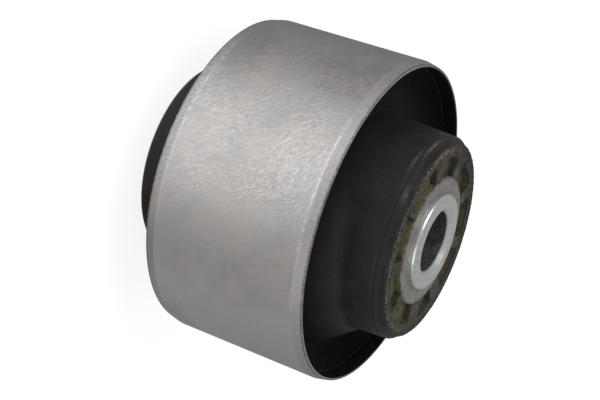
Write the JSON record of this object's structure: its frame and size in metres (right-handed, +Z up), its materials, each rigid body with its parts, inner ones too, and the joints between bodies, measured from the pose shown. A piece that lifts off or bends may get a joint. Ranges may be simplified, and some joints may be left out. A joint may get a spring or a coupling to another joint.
{
  "type": "rubber metal bush",
  "caption": "Suspension-style rubber bush: a wide steel outer sleeve, a moulded rubber body with deep end grooves, and a proud inner sleeve with a bolt bore.",
  "frame": {"origin": "middle of the lower bearing face of the inner sleeve, on the bore's axis", "axes": "+Z up along the bore's axis, through the upper bearing face; +Y towards the side where the hub's foot swells into the grooves"},
  "size_m": [0.066, 0.066, 0.0567],
  "materials": {
    "outer_steel": "satin phosphate grey steel with fine random scratches",
    "rubber": "moulded black rubber, matt to semi-matt",
    "cast_core": "dull grey cast metal, olive bonding coat on its side",
    "inner_steel": "bright machined end face"
  },
  "bodies": {
    "root": {"outer_sleeve": "outer_steel", "rubber_body": "rubber", "inner_core": "cast_core", "inner_sleeve": "inner_steel"}
  },
  "joints": []
}
